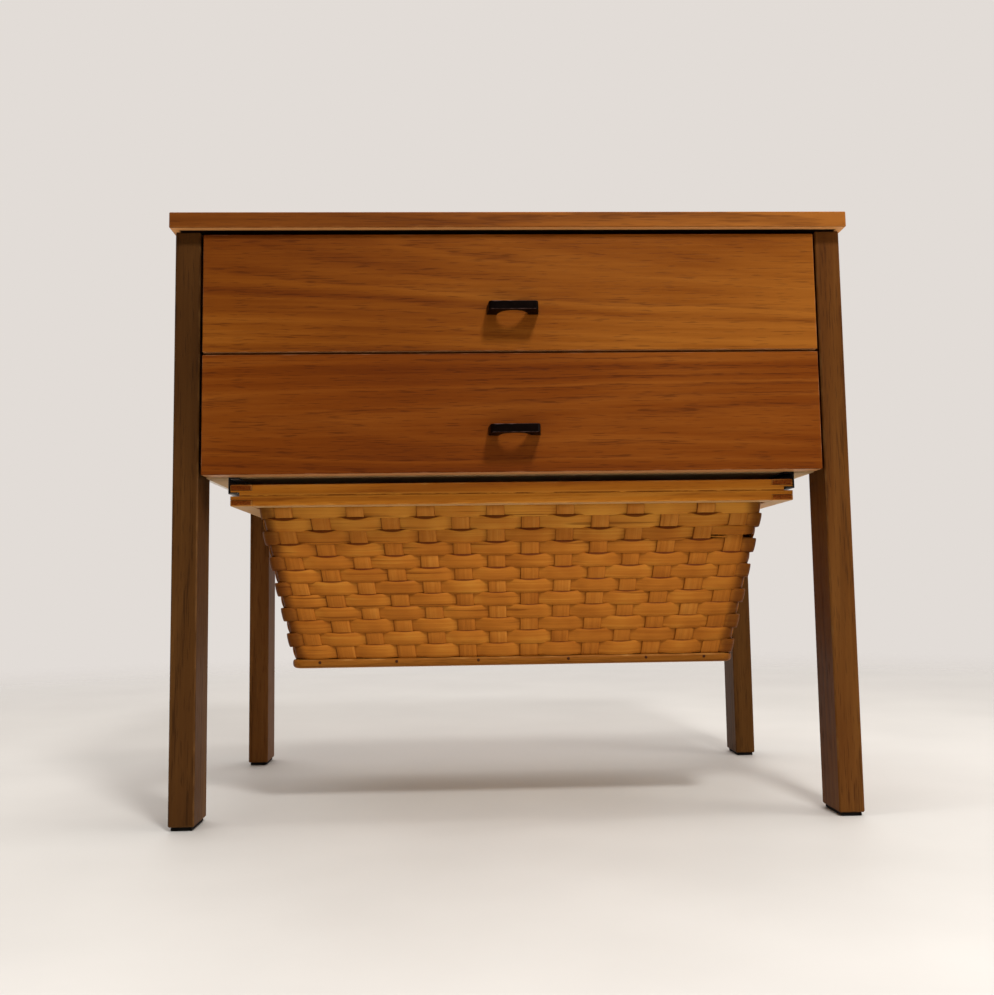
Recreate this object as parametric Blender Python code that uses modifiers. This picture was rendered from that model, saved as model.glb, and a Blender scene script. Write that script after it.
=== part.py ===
"""Sewing cabinet: two drawers between square legs, and a woven basket that slides out beneath them.

Metres, +Z up, +X to the right and -Y to the front. The floor is at Z = 0.
"""
from math import copysign, radians

import bmesh
import bpy
from mathutils import Vector

# Clearances
FIT = 0.0003                 # between pieces that are joined
RUN = 0.0003                 # between pieces that slide
STOP = 0.0005                # what a slide keeps from its stop when it is shut
EDGE = 0.0006                # rounding of a sawn wooden edge

# Top, legs and pads
TOP_WIDTH = 0.600
TOP_DEPTH = 0.405
TOP_THICKNESS = 0.014
TOP_EDGE = 0.0006
HEIGHT = 0.532
LEG_WIDTH = 0.022
LEG_DEPTH = 0.043
LEG_EDGE = 0.001
SIDE_OVERHANG = 0.003
FRONT_OVERHANG = 0.011       # of the top, past the legs
REAR_OVERHANG = 0.016
PAD_HEIGHT = 0.003
PAD_INSET = 0.002

# Case
SIDE_THICKNESS = 0.012
SIDE_RAISE = 0.004           # side panels' lower edge above the bottom panel's
BACK_THICKNESS = 0.006
BACK_INSET = 0.003
BOTTOM_THICKNESS = 0.008
BOTTOM_SETBACK = 0.011       # behind the drawer fronts

# Drawers
FRONT_HEIGHT = 0.1055
FRONT_THICKNESS = 0.020
FRONT_GAP = 0.0023           # between the drawer fronts
FRONT_TOP_GAP = 0.004
FRONT_SIDE_GAP = 0.0033
FRONT_PROUD = 0.004          # in front of the legs
BOX_WALL = 0.012
BOX_RAISE = 0.012            # the box's lower edge above the front's
BOX_DROP = 0.009             # the box's upper edge below the front's
BOX_REAR_GAP = 0.008
BOX_BACK_DROP = 0.006
FLOOR_THICKNESS = 0.004
FLOOR_RAISE = 0.006
FLOOR_GROOVE = 0.005

# Drawer runners
STRIP_HEIGHT = 0.012
STRIP_GROOVE = 0.0065
STRIP_REAR_GAP = 0.010

# Pulls and their screws
PULL_LENGTH = 0.046          # at the drawer front
PULL_TAPER = 0.0017          # taken off each end at the bar's face
PULL_HEIGHT = 0.0076
PULL_PROJECTION = 0.020
PULL_FOOT = 0.009
PULL_BAR = 0.0043
PULL_RAISE = 0.0358          # middle of the pull above the front's lower edge
PULL_ROUNDING = 0.003
PULL_EDGE = 0.0006
PULL_SCREW_SHANK = 0.0018    # radius
PULL_SCREW_HEAD = 0.0038     # radius
PULL_SCREW_HEAD_HEIGHT = 0.0024
PULL_SCREW_COVER = 0.010     # of the pull's foot, in front of the screw's tip

# Basket frame
FRAME_SIDE_GAP = 0.0245
FRAME_DROP = 0.0067          # frame's top below the lower drawer front
FRAME_SETBACK = 0.015
FRAME_REAR_GAP = 0.006
RAIL_HEIGHT = 0.019
RAIL_THICKNESS = 0.019
FINGER_HEIGHT = 0.005
GROOVE_DROP = 0.0065         # groove's upper wall below the frame's top
GROOVE_SLACK = 0.0021        # open height under the runner's flange
GROOVE_DEPTH = 0.008
LINE_WIDTH = 0.0012          # scored line along the front rail

# Woven body and its base
BODY_DROP = 0.001            # body's rim below the frame's top
BODY_HEIGHT = 0.1552
BODY_TAPER = 0.027
BODY_WALL = 0.004
BODY_CORNER = 0.012
BASE_THICKNESS = 0.0081
BASE_ROUND_TOP = 0.002
BASE_ROUND_BOTTOM = 0.004

# Basket runners, folded from sheet steel, and their screws
SHEET = 0.0012
CHANNEL_SIDE_GAP = 0.0008
CHANNEL_TIP_GAP = 0.0015     # between the lower flange and the groove's end
CHANNEL_SCREW_SHANK = 0.0014
CHANNEL_SCREW_HEAD = 0.0024
CHANNEL_SCREW_HEAD_HEIGHT = 0.0018
CHANNEL_SCREW_COVER = 0.002  # of the bottom panel, over the screw's tip
CHANNEL_SCREW_INSET = 0.050

# Places across the width
leg_outer = TOP_WIDTH / 2 - SIDE_OVERHANG
leg_inner = leg_outer - LEG_WIDTH
front_half = leg_inner - FRONT_SIDE_GAP
box_inner = front_half - BOX_WALL
frame_half = leg_inner - FRAME_SIDE_GAP
opening_half = frame_half - RAIL_THICKNESS

# Places along the depth, with the whole object centred on Y = 0
pull_overhang = max(0.0, PULL_PROJECTION + FRONT_PROUD - FRONT_OVERHANG)
top_front = (pull_overhang - TOP_DEPTH) / 2
top_rear = top_front + TOP_DEPTH
leg_front = top_front + FRONT_OVERHANG
leg_rear = top_rear - REAR_OVERHANG
face = leg_front - FRONT_PROUD
face_rear = face + FRONT_THICKNESS
back_front = leg_rear - BACK_INSET - BACK_THICKNESS
box_rear = back_front - BOX_REAR_GAP
frame_front = leg_front + FRAME_SETBACK
frame_rear = back_front - FRAME_REAR_GAP
frame_middle = (frame_front + frame_rear) / 2
opening_depth = frame_rear - frame_front - 2 * RAIL_THICKNESS

# Heights
underside = HEIGHT - TOP_THICKNESS
upper_face = underside - FRONT_TOP_GAP - FRONT_HEIGHT
lower_face = upper_face - FRONT_GAP - FRONT_HEIGHT
case_bottom = lower_face + FIT
frame_top = lower_face - FRAME_DROP
frame_bottom = frame_top - RAIL_HEIGHT
groove_top = frame_top - GROOVE_DROP
groove_bottom = groove_top - RUN - SHEET - GROOVE_SLACK
body_top = frame_top - BODY_DROP
body_bottom = body_top - BODY_HEIGHT


def clear_scene():
    for obj in list(bpy.data.objects):
        bpy.data.objects.remove(obj, do_unlink=True)


def new_collection(name):
    collection = bpy.data.collections.new(name)
    bpy.context.scene.collection.children.link(collection)
    return collection


def linear(channel):
    """A display colour channel from 0 to 255 as a linear value."""
    value = channel / 255
    return value / 12.92 if value <= 0.04045 else ((value + 0.055) / 1.055) ** 2.4


def finish(name, colour, roughness, metallic=0.0):
    material = bpy.data.materials.new(name)
    material.use_nodes = True
    shader = material.node_tree.nodes["Principled BSDF"]
    rgba = [linear(channel) for channel in colour] + [1.0]
    shader.inputs["Base Color"].default_value = rgba
    shader.inputs["Roughness"].default_value = roughness
    shader.inputs["Metallic"].default_value = metallic
    material.diffuse_color = rgba
    return material


clear_scene()
PARTS = new_collection("sewing_cabinet")
CUTTERS = new_collection("cutters")

TEAK = finish("teak", (150, 90, 40), 0.45)
FRONT_TEAK = finish("teak_front", (142, 82, 34), 0.42)
LEG_TEAK = finish("teak_leg", (104, 70, 38), 0.5)
FRAME_WOOD = finish("frame_wood", (165, 102, 42), 0.5)
BOX_WOOD = finish("box_wood", (190, 150, 100), 0.6)
SPLINT = finish("splint", (178, 118, 52), 0.6)
PULL_BLACK = finish("pull_black", (18, 17, 16), 0.35)
PAD_BLACK = finish("pad_black", (24, 22, 21), 0.7)
CHANNEL_BLACK = finish("channel_black", (28, 26, 25), 0.45, 0.6)
SCREW_STEEL = finish("screw_steel", (165, 160, 150), 0.35, 1.0)

SIDES = ((-1, "left"), (1, "right"))


def mesh_object(name, bm, place, collection):
    mesh = bpy.data.meshes.new(name)
    bm.to_mesh(mesh)
    bm.free()
    obj = bpy.data.objects.new(name, mesh)
    obj.location = place
    collection.objects.link(obj)
    return obj


def cuboid(name, low, high, collection):
    """A box between two opposite corners, with its origin at its middle."""
    low, high = Vector(low), Vector(high)
    bm = bmesh.new()
    bmesh.ops.create_cube(bm, size=1.0)
    bmesh.ops.scale(bm, vec=high - low, verts=bm.verts)
    return mesh_object(name, bm, (low + high) / 2, collection)


def bevel(obj, width, segments=1):
    modifier = obj.modifiers.new("Edges", "BEVEL")
    modifier.width = width
    modifier.segments = segments
    modifier.limit_method = "ANGLE"


def hang(obj, slide):
    """Parents a piece to its slide, leaving it where it is."""
    if slide:
        obj.parent = slide
        obj.location -= slide.location


def world_place(obj):
    return obj.location + (obj.parent.location if obj.parent else Vector())


def span(side, inner, outer):
    """The two X values of a piece on the left (-1) or right (1) side, lowest first."""
    return sorted((side * inner, side * outer))


def board(name, low, high, material, slide=None, edge=EDGE):
    obj = cuboid(name, low, high, PARTS)
    obj.data.materials.append(material)
    bevel(obj, edge)
    hang(obj, slide)
    return obj


def cut(obj, cutter):
    """Takes a cutter, made at its world place, out of a piece."""
    cutter.hide_render = True
    cutter.display_type = "WIRE"
    cutter.parent = obj
    cutter.location -= world_place(obj)
    modifier = obj.modifiers.new(cutter.name, "BOOLEAN")
    modifier.operation = "DIFFERENCE"
    modifier.solver = "EXACT"
    modifier.object = cutter


def cut_box(obj, name, low, high):
    cut(obj, cuboid(f"{obj.name}.{name}", low, high, CUTTERS))


def cut_round(obj, name, place, radius_x, radius_y, depth, tilt=0.0):
    """Takes out a round or oval hole, upright unless it is tilted about X."""
    bm = bmesh.new()
    bmesh.ops.create_cone(bm, cap_ends=True, segments=24, radius1=1.0, radius2=1.0, depth=depth)
    bmesh.ops.scale(bm, vec=(radius_x, radius_y, 1.0), verts=bm.verts)
    cutter = mesh_object(f"{obj.name}.{name}", bm, place, CUTTERS)
    cutter.rotation_euler.x = tilt
    cut(obj, cutter)


def smooth(obj, angle=40):
    obj.data.shade_smooth()
    obj.data.set_sharp_from_angle(angle=radians(angle))


def turned_screw(name, place, tilt, shank, grip, head, head_height, slide=None):
    """A screw turned about its axis: its head's seat is at its origin and its tip along local +Z."""
    outline = [(0, -head_height), (head, -head_height), (head, 0), (shank, 0), (shank, grip), (0, grip)]
    bm = bmesh.new()
    points = [bm.verts.new((radius, 0, along)) for radius, along in outline]
    for start, end in zip(points, points[1:]):
        bm.edges.new((start, end))
    obj = mesh_object(name, bm, place, PARTS)
    obj.rotation_euler.x = tilt
    obj.data.materials.append(SCREW_STEEL)
    lathe = obj.modifiers.new("Turn", "SCREW")
    lathe.steps = 16
    lathe.render_steps = 16
    lathe.use_merge_vertices = True
    lathe.merge_threshold = 0.00001
    lathe.use_normal_flip = True
    lathe.use_smooth_shade = False
    hang(obj, slide)
    return obj


def slide_empty(name, place):
    """The empty that a sliding body hangs on, on its joint's axis."""
    empty = bpy.data.objects.new(name, None)
    empty.empty_display_size = 0.05
    empty.location = place
    PARTS.objects.link(empty)
    return empty


def make_case():
    half_width = TOP_WIDTH / 2
    top_low = (-half_width, top_front, underside)
    board("top_board", top_low, (half_width, top_rear, HEIGHT), TEAK, edge=TOP_EDGE)

    panel_front = leg_front + LEG_DEPTH + FIT
    panel_rear = leg_rear - LEG_DEPTH - FIT
    for side, name in SIDES:
        near, far = span(side, leg_inner, leg_inner + SIDE_THICKNESS)
        panel_low = (near, panel_front, case_bottom + SIDE_RAISE)
        board(f"side_panel_{name}", panel_low, (far, panel_rear, underside - FIT), TEAK)

    inside = leg_inner - FIT
    back_low = (-inside, back_front, case_bottom)
    board("back_panel", back_low, (inside, back_front + BACK_THICKNESS, underside - FIT), BOX_WOOD)
    bottom_low = (-inside, face_rear + BOTTOM_SETBACK, case_bottom)
    bottom_high = (inside, back_front - FIT, case_bottom + BOTTOM_THICKNESS)
    return board("bottom_panel", bottom_low, bottom_high, BOX_WOOD)


def make_legs():
    for end, start in (("front", leg_front), ("rear", leg_rear - LEG_DEPTH)):
        for side, name in SIDES:
            near, far = span(side, leg_inner, leg_outer)
            leg_low = (near, start, PAD_HEIGHT + FIT)
            leg_high = (far, start + LEG_DEPTH, underside - FIT)
            board(f"leg_{end}_{name}", leg_low, leg_high, LEG_TEAK, edge=LEG_EDGE)
            pad_low = (near + PAD_INSET, start + PAD_INSET, 0)
            pad_high = (far - PAD_INSET, start + LEG_DEPTH - PAD_INSET, PAD_HEIGHT)
            board(f"pad_{end}_{name}", pad_low, pad_high, PAD_BLACK, edge=PAD_HEIGHT / 6)


def make_pull(name, centre_z, slide):
    half = PULL_LENGTH / 2
    low = (-half, face - PULL_PROJECTION, centre_z - PULL_HEIGHT / 2)
    pull = cuboid(f"{name}_pull", low, (half, face - FIT, centre_z + PULL_HEIGHT / 2), PARTS)
    pull.data.materials.append(PULL_BLACK)
    bm = bmesh.new()
    bm.from_mesh(pull.data)
    for vert in bm.verts:
        if vert.co.y < 0:
            vert.co.x -= copysign(PULL_TAPER, vert.co.x)
    upright = [edge for edge in bm.edges if edge.verts[0].co.z * edge.verts[1].co.z < 0]
    corners = [edge for edge in upright if edge.verts[0].co.y < 0]
    bmesh.ops.bevel(bm, geom=corners, offset=PULL_ROUNDING, segments=4, profile=0.5, affect="EDGES")
    bm.to_mesh(pull.data)
    bm.free()
    smooth(pull)
    bevel(pull, PULL_EDGE, 2)
    hang(pull, slide)
    grip = (half - PULL_FOOT, PULL_PROJECTION - PULL_BAR)
    cut_round(pull, "finger_gap", (0, face, centre_z), grip[0], grip[1], 3 * PULL_HEIGHT)
    return pull


def make_drawer(name, lower_edge):
    upper_edge = lower_edge + FRONT_HEIGHT
    box_bottom = lower_edge + BOX_RAISE
    box_top = upper_edge - BOX_DROP
    strip_z = (box_bottom + box_top) / 2
    slide = slide_empty(f"{name}_slide", (0, face, strip_z))

    front_low = (-front_half, face, lower_edge)
    front = board(f"{name}_front", front_low, (front_half, face_rear, upper_edge), FRONT_TEAK, slide)

    # The floor sits in a groove round the sides and the front, and runs out under the back
    floor_bottom = box_bottom + FLOOR_RAISE
    floor_top = floor_bottom + FLOOR_THICKNESS
    floor_half = box_inner + FLOOR_GROOVE - FIT
    floor_low = (-floor_half, face_rear - FLOOR_GROOVE + FIT, floor_bottom)
    floor_high = (floor_half, box_rear, floor_top)
    board(f"{name}_floor", floor_low, floor_high, BOX_WOOD, slide, edge=FLOOR_THICKNESS / 8)
    groove_half = box_inner + FLOOR_GROOVE
    groove_low, groove_high = floor_bottom - FIT, floor_top + FIT
    cut_box(front, "floor_groove", (-groove_half, face_rear - FLOOR_GROOVE, groove_low),
            (groove_half, face_rear + FLOOR_GROOVE, groove_high))

    strip_half = STRIP_HEIGHT / 2
    for side, side_name in SIDES:
        near, far = span(side, box_inner, front_half)
        wall_low = (near, face_rear + FIT, box_bottom)
        wall = board(f"{name}_side_{side_name}", wall_low, (far, box_rear, box_top), BOX_WOOD, slide)
        near, far = span(side, box_inner - BOX_WALL, groove_half)
        cut_box(wall, "floor_groove", (near, face_rear - BOX_WALL, groove_low),
                (far, box_rear + BOX_WALL, groove_high))
        near, far = span(side, front_half - STRIP_GROOVE, front_half + BOX_WALL)
        cut_box(wall, "runner_groove", (near, face_rear - BOX_WALL, strip_z - strip_half - RUN),
                (far, box_rear + BOX_WALL, strip_z + strip_half + RUN))

        # The wooden strip on the case that carries this side
        near, far = span(side, front_half - STRIP_GROOVE + RUN, leg_inner - FIT)
        strip_low = (near, face_rear + STOP, strip_z - strip_half)
        strip_high = (far, back_front - STRIP_REAR_GAP, strip_z + strip_half)
        board(f"{name}_runner_{side_name}", strip_low, strip_high, FRAME_WOOD)

    back_half = box_inner - FIT
    back_low = (-back_half, box_rear - BOX_WALL, floor_top + FIT)
    board(f"{name}_back", back_low, (back_half, box_rear, box_top - BOX_BACK_DROP), BOX_WOOD, slide)

    pull_z = lower_edge + PULL_RAISE
    pull = make_pull(name, pull_z, slide)
    reach = FRONT_THICKNESS + PULL_PROJECTION - PULL_SCREW_COVER
    bore = PULL_SCREW_SHANK + FIT
    for side, side_name in SIDES:
        x = side * (PULL_LENGTH - PULL_FOOT) / 2
        turned_screw(f"{name}_pull_screw_{side_name}", (x, face_rear + FIT, pull_z), radians(90),
                     PULL_SCREW_SHANK, reach, PULL_SCREW_HEAD, PULL_SCREW_HEAD_HEIGHT, slide)
        for piece in (front, pull):
            seat = (x, face_rear, pull_z)
            cut_round(piece, f"bore_{side_name}", seat, bore, bore, 2 * (reach + FIT), radians(90))


def score_line(rail):
    """Scores the front rail's face with a shallow V, level with the groove's lower wall."""
    half_side = LINE_WIDTH / 2 ** 0.5 / 2
    half_length = frame_half + RAIL_HEIGHT
    low = (-half_length, frame_front - half_side, groove_bottom - half_side)
    high = (half_length, frame_front + half_side, groove_bottom + half_side)
    cutter = cuboid("basket_rail_front.line", low, high, CUTTERS)
    cutter.rotation_euler.x = radians(45)
    cut(rail, cutter)


def make_basket_frame(slide):
    """Four rails joined by a tongue in a fork at each corner, with a groove outside both sides."""
    tongue_bottom = frame_bottom + FINGER_HEIGHT
    tongue_top = frame_top - FINGER_HEIGHT
    past = RAIL_HEIGHT

    for end, start in (("front", frame_front), ("back", frame_rear - RAIL_THICKNESS)):
        stop = start + RAIL_THICKNESS
        rail_low = (-frame_half, start, frame_bottom)
        rail = board(f"basket_rail_{end}", rail_low, (frame_half, stop, frame_top), FRAME_WOOD, slide)
        for side, name in SIDES:
            near, far = span(side, opening_half - FIT, frame_half + past)
            before, after = start - past, stop + past
            cut_box(rail, f"upper_{name}", (near, before, tongue_top - FIT), (far, after, frame_top + past))
            below = frame_bottom - past
            cut_box(rail, f"lower_{name}", (near, before, below), (far, after, tongue_bottom + FIT))
            near, far = span(side, frame_half - GROOVE_DEPTH, frame_half + past)
            cut_box(rail, f"groove_{name}", (near, before, groove_bottom), (far, after, groove_top))
        if end == "front":
            score_line(rail)

    for side, name in SIDES:
        near, far = span(side, opening_half, frame_half)
        rail_low = (near, frame_front, frame_bottom)
        rail = board(f"basket_rail_{name}", rail_low, (far, frame_rear, frame_top), FRAME_WOOD, slide)
        before, after = frame_front - past, frame_rear + past
        depth = RAIL_THICKNESS + FIT
        forks = (("front", before, frame_front + depth), ("back", frame_rear - depth, after))
        for end, start, stop in forks:
            cut_box(rail, f"fork_{end}", (near - past, start, tongue_bottom), (far + past, stop, tongue_top))
        near, far = span(side, frame_half - GROOVE_DEPTH, frame_half + past)
        cut_box(rail, "groove", (near, before, groove_bottom), (far, after, groove_top))


def rounded_block(half_x, half_y, height, corner, taper=0.0):
    """A block with round upright corners, drawn in by the taper at its lower end."""
    bm = bmesh.new()
    bmesh.ops.create_cube(bm, size=1.0)
    bmesh.ops.scale(bm, vec=(2 * half_x, 2 * half_y, height), verts=bm.verts)
    for vert in bm.verts:
        if vert.co.z < 0:
            vert.co.x -= copysign(taper, vert.co.x)
            vert.co.y -= copysign(taper, vert.co.y)
    upright = [edge for edge in bm.edges if edge.verts[0].co.z * edge.verts[1].co.z < 0]
    bmesh.ops.bevel(bm, geom=upright, offset=corner, segments=5, profile=0.5, affect="EDGES")
    return bm


def round_rim(bm, upper, radius, segments):
    """Rounds the edge all round a block's upper or lower end."""
    rim = [edge for edge in bm.edges if all((vert.co.z > 0) == upper for vert in edge.verts)]
    bmesh.ops.bevel(bm, geom=rim, offset=radius, segments=segments, profile=0.5, affect="EDGES")


def make_basket():
    slide = slide_empty("basket_slide", (0, frame_front, groove_top))
    make_basket_frame(slide)

    half_x = opening_half - FIT
    half_y = opening_depth / 2 - FIT
    bm = rounded_block(half_x, half_y, BODY_HEIGHT, BODY_CORNER, BODY_TAPER)
    bm.normal_update()
    ends = [f for f in bm.faces if abs(f.normal.z) > 0.9]
    bmesh.ops.delete(bm, geom=ends, context="FACES_ONLY")
    body = mesh_object("basket_body", bm, (0, frame_middle, (body_top + body_bottom) / 2), PARTS)
    body.data.materials.append(SPLINT)
    smooth(body)
    wall = body.modifiers.new("Wall", "SOLIDIFY")
    wall.thickness = BODY_WALL
    wall.offset = -1
    wall.use_even_offset = True
    hang(body, slide)

    bm = rounded_block(half_x - BODY_TAPER, half_y - BODY_TAPER, BASE_THICKNESS, BODY_CORNER)
    round_rim(bm, True, BASE_ROUND_TOP, 2)
    round_rim(bm, False, BASE_ROUND_BOTTOM, 4)
    base_z = body_bottom - FIT - BASE_THICKNESS / 2
    base = mesh_object("basket_base", bm, (0, frame_middle, base_z), PARTS)
    base.data.materials.append(FRAME_WOOD)
    smooth(base)
    hang(base, slide)


def make_basket_runners(bottom_panel):
    """Steel channels under the case: the lower flange carries the frame and the closed end stops it."""
    outer = frame_half + CHANNEL_SIDE_GAP + SHEET
    tip = frame_half - GROOVE_DEPTH + CHANNEL_TIP_GAP
    top = case_bottom - FIT
    bottom = groove_top - RUN - SHEET
    front = face_rear + FIT
    rear = frame_rear + STOP + SHEET
    seat = top - SHEET - FIT
    reach = case_bottom + BOTTOM_THICKNESS - CHANNEL_SCREW_COVER - seat
    bore = CHANNEL_SCREW_SHANK + FIT
    for side, name in SIDES:
        near, far = span(side, tip, outer)
        channel = cuboid(f"basket_runner_{name}", (near, front, bottom), (far, rear, top), PARTS)
        channel.data.materials.append(CHANNEL_BLACK)
        near, far = span(side, tip - SHEET, outer - SHEET)
        cut_box(channel, "hollow", (near, front - SHEET, bottom + SHEET), (far, rear - SHEET, top - SHEET))
        x = side * (tip + outer - SHEET) / 2
        for end, y in (("front", front + CHANNEL_SCREW_INSET), ("rear", rear - CHANNEL_SCREW_INSET)):
            turned_screw(f"basket_runner_screw_{end}_{name}", (x, y, seat), 0.0, CHANNEL_SCREW_SHANK,
                         reach, CHANNEL_SCREW_HEAD, CHANNEL_SCREW_HEAD_HEIGHT)
            cut_round(channel, f"bore_{end}", (x, y, top), bore, bore, 3 * SHEET)
            cut_round(bottom_panel, f"bore_{end}_{name}", (x, y, seat), bore, bore, 2 * (reach + FIT))


make_legs()
case_floor = make_case()
make_drawer("upper_drawer", upper_face)
make_drawer("lower_drawer", lower_face)
make_basket()
make_basket_runners(case_floor)
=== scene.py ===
from dataclasses import dataclass, replace
from math import pi

import bmesh
import bpy
import numpy as np
from mathutils import Matrix, Vector


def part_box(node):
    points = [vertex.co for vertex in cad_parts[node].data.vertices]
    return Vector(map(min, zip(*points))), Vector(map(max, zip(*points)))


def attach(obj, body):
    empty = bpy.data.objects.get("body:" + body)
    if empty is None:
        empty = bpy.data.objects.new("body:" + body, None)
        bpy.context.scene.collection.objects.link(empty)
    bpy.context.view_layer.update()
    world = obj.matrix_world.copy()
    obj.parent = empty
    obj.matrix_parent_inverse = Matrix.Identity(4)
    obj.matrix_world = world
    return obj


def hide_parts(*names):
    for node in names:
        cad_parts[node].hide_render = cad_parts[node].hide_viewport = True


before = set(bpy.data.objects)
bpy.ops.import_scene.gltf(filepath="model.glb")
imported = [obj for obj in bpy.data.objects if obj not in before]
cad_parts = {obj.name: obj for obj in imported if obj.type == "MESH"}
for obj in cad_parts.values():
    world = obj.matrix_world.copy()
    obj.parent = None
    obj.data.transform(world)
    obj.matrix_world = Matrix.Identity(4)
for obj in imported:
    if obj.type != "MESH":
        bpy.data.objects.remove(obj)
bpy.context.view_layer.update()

NODE_NAMES = sorted(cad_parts)
SIDES = ("left", "right")
DRAWERS = ("upper_drawer", "lower_drawer")

# Camera, where the corners of the cabinet meet those in the photograph
IMAGE_WIDTH = 994
FOCAL_PIXELS = 1033.3
SENSOR_WIDTH = 36.0
CAMERA_PLACE = (-0.0491, -1.0835, 0.1963)
CAMERA_YAW = -0.0368
CAMERA_PITCH = 0.0915
CAMERA_ROLL = 0.0147

# Stage and light. Shades are display colours, from 0 to 255 a channel.
FLOOR_SIZE = 40.0
FLOOR_FADE = (0.7, 2.4)              # distances between which the floor melts into the room
FLOOR_SHADES = ((194, 193, 191), (201, 200, 198))
FLOOR_STOPS = (0.3, 0.7)
ROOM_SHADE = (226, 220, 215)         # behind the cabinet
ROOM_DIM_SHADE = (128, 123, 118)     # behind the camera
ROOM_AHEAD = (0.0, 0.6)              # how far ahead a direction points where the room brightens
ROOM_UP = (0.6, 0.9)                 # and how far up
OVERHEAD_GAIN = 4.5                  # how much brighter the room is overhead
WHITE_LIGHT = (255, 252, 247)
WARM_LIGHT = (255, 251, 245)
LIGHTS = {                           # place, size, watts and shade
    "key": ((0.37, -1.32, 1.80), (0.30, 0.30), 25.5, WHITE_LIGHT),
    "overhead": ((0.02, -0.24, 2.30), (1.20, 0.15), 13.0, WHITE_LIGHT),
    "side": ((1.50, -0.55, 0.45), (0.70, 0.70), 9.0, WARM_LIGHT),
    "fill": ((0.10, -2.10, 0.16), (1.20, 1.20), 3.0, WARM_LIGHT),
}
LIGHT_TARGET = (0.0, -0.18, 0.38)

# Woven basket, in metres and in counts
STAKES_FRONT = 14
STAKES_SIDE = 9
STAKE_COUNT = 2 * (STAKES_FRONT + STAKES_SIDE)
STAKE_INSET = 0.020          # outermost stake from the corner
STAKE_WIDTH = 0.0165
STAKE_THICKNESS = 0.0018
STAKE_SWING = 0.0008
STAKE_STEPS = 6              # points for each row
ROW_COUNT = 12
ROW_PITCH = 0.01156
FIRST_ROW = 0.0064           # middle of the lowest row above the base
WEAVER_WIDTH = 0.0132
WEAVER_THICKNESS = 0.0015
WEAVER_SWING = 0.0010
WEAVER_FLATNESS = 1.7        # how flat it lies over and under the stakes
WEAVER_CAMBER = 0.0006
WEAVER_WAIST = 0.03          # how much narrower it is where it crosses the wall, as a share
WALL_MIDDLE = 0.0022         # middle of the wall inside its outer face
WALL_CORNER = 0.006
CORNER_POINTS = 9
CORNER_SWING = 0.0014        # more swing where a row turns a corner
CORNER_REACH = 0.35          # how far round a corner its swing and its painted shade reach, in stake spacings
BELLY_SHARES = (0.0, 0.8, 0.865, 0.95)          # heights at which the wall swells
BELLY = (-0.0004, 0.0034, 0.0030, 0.0)          # and by how much
HOOP_STEPS = 16              # points for each stake spacing
SLOPE_STEP = 0.001           # from a hoop to those that give the slope of the wall
RIM_WIDTH = 0.0135
RIM_THICKNESS = 0.0014
RIM_DROP = 0.0080            # middle of the rim bands below the top of the wall
RIM_CLEARANCE = 0.0002
TORN_ROW = 9
TORN_SPAN = (12.15, 13.80)   # in stake spacings from the front's left stake
TORN_SHARE = 0.32            # of the weaver's width
SPLINTER_SPAN = (11.85, 12.78)
SPLINTER_SHARE = 0.15
SPLINTER_TAPER = (0.3, 1.0)
SPLINTER_RAISE = 0.62        # above the weaver's lower edge, as a share of what is torn off
SPLINTER_THICKNESS = 0.0007

# How uneven the weave is, as shares and, for the shifts, in metres
WEAVE_SEED = 11
SWING_CHANCE = 0.12
WIDTH_CHANCE = 0.02
SHIFT_CHANCE = 0.0003
STAKE_WIDTH_CHANCE = 0.05
STAKE_SHIFT_CHANCE = 0.0010

# Nails round the base, along the front and, as shares of the length, along the other sides
NAIL_FRONT_X = (-0.178, -0.108, -0.033, 0.050, 0.122, 0.176)
NAIL_SIDE_SHARES = (-0.75, -0.25, 0.25, 0.75)
NAIL_HEAD = 0.0014
NAIL_DOME = 0.0004
NAIL_PROFILE = ((0.0, 1.0), (0.5, 0.85), (0.85, 0.45), (1.0, 0.0), (0.9, -0.5), (0.0, -0.5))
NAIL_SIDES = 14
NAIL_RAISE = 0.0052          # above the underside of the base
SAME_POINT = 0.00001


def colour(shade):
    """A display colour as linear red, green, blue and alpha."""
    values = [channel / 255 for channel in shade]
    return [v / 12.92 if v <= 0.04045 else ((v + 0.055) / 1.055) ** 2.4 for v in values] + [1.0]


def add_object(name, data):
    obj = bpy.data.objects.new(name, data)
    bpy.context.scene.collection.objects.link(obj)
    return obj


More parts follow.
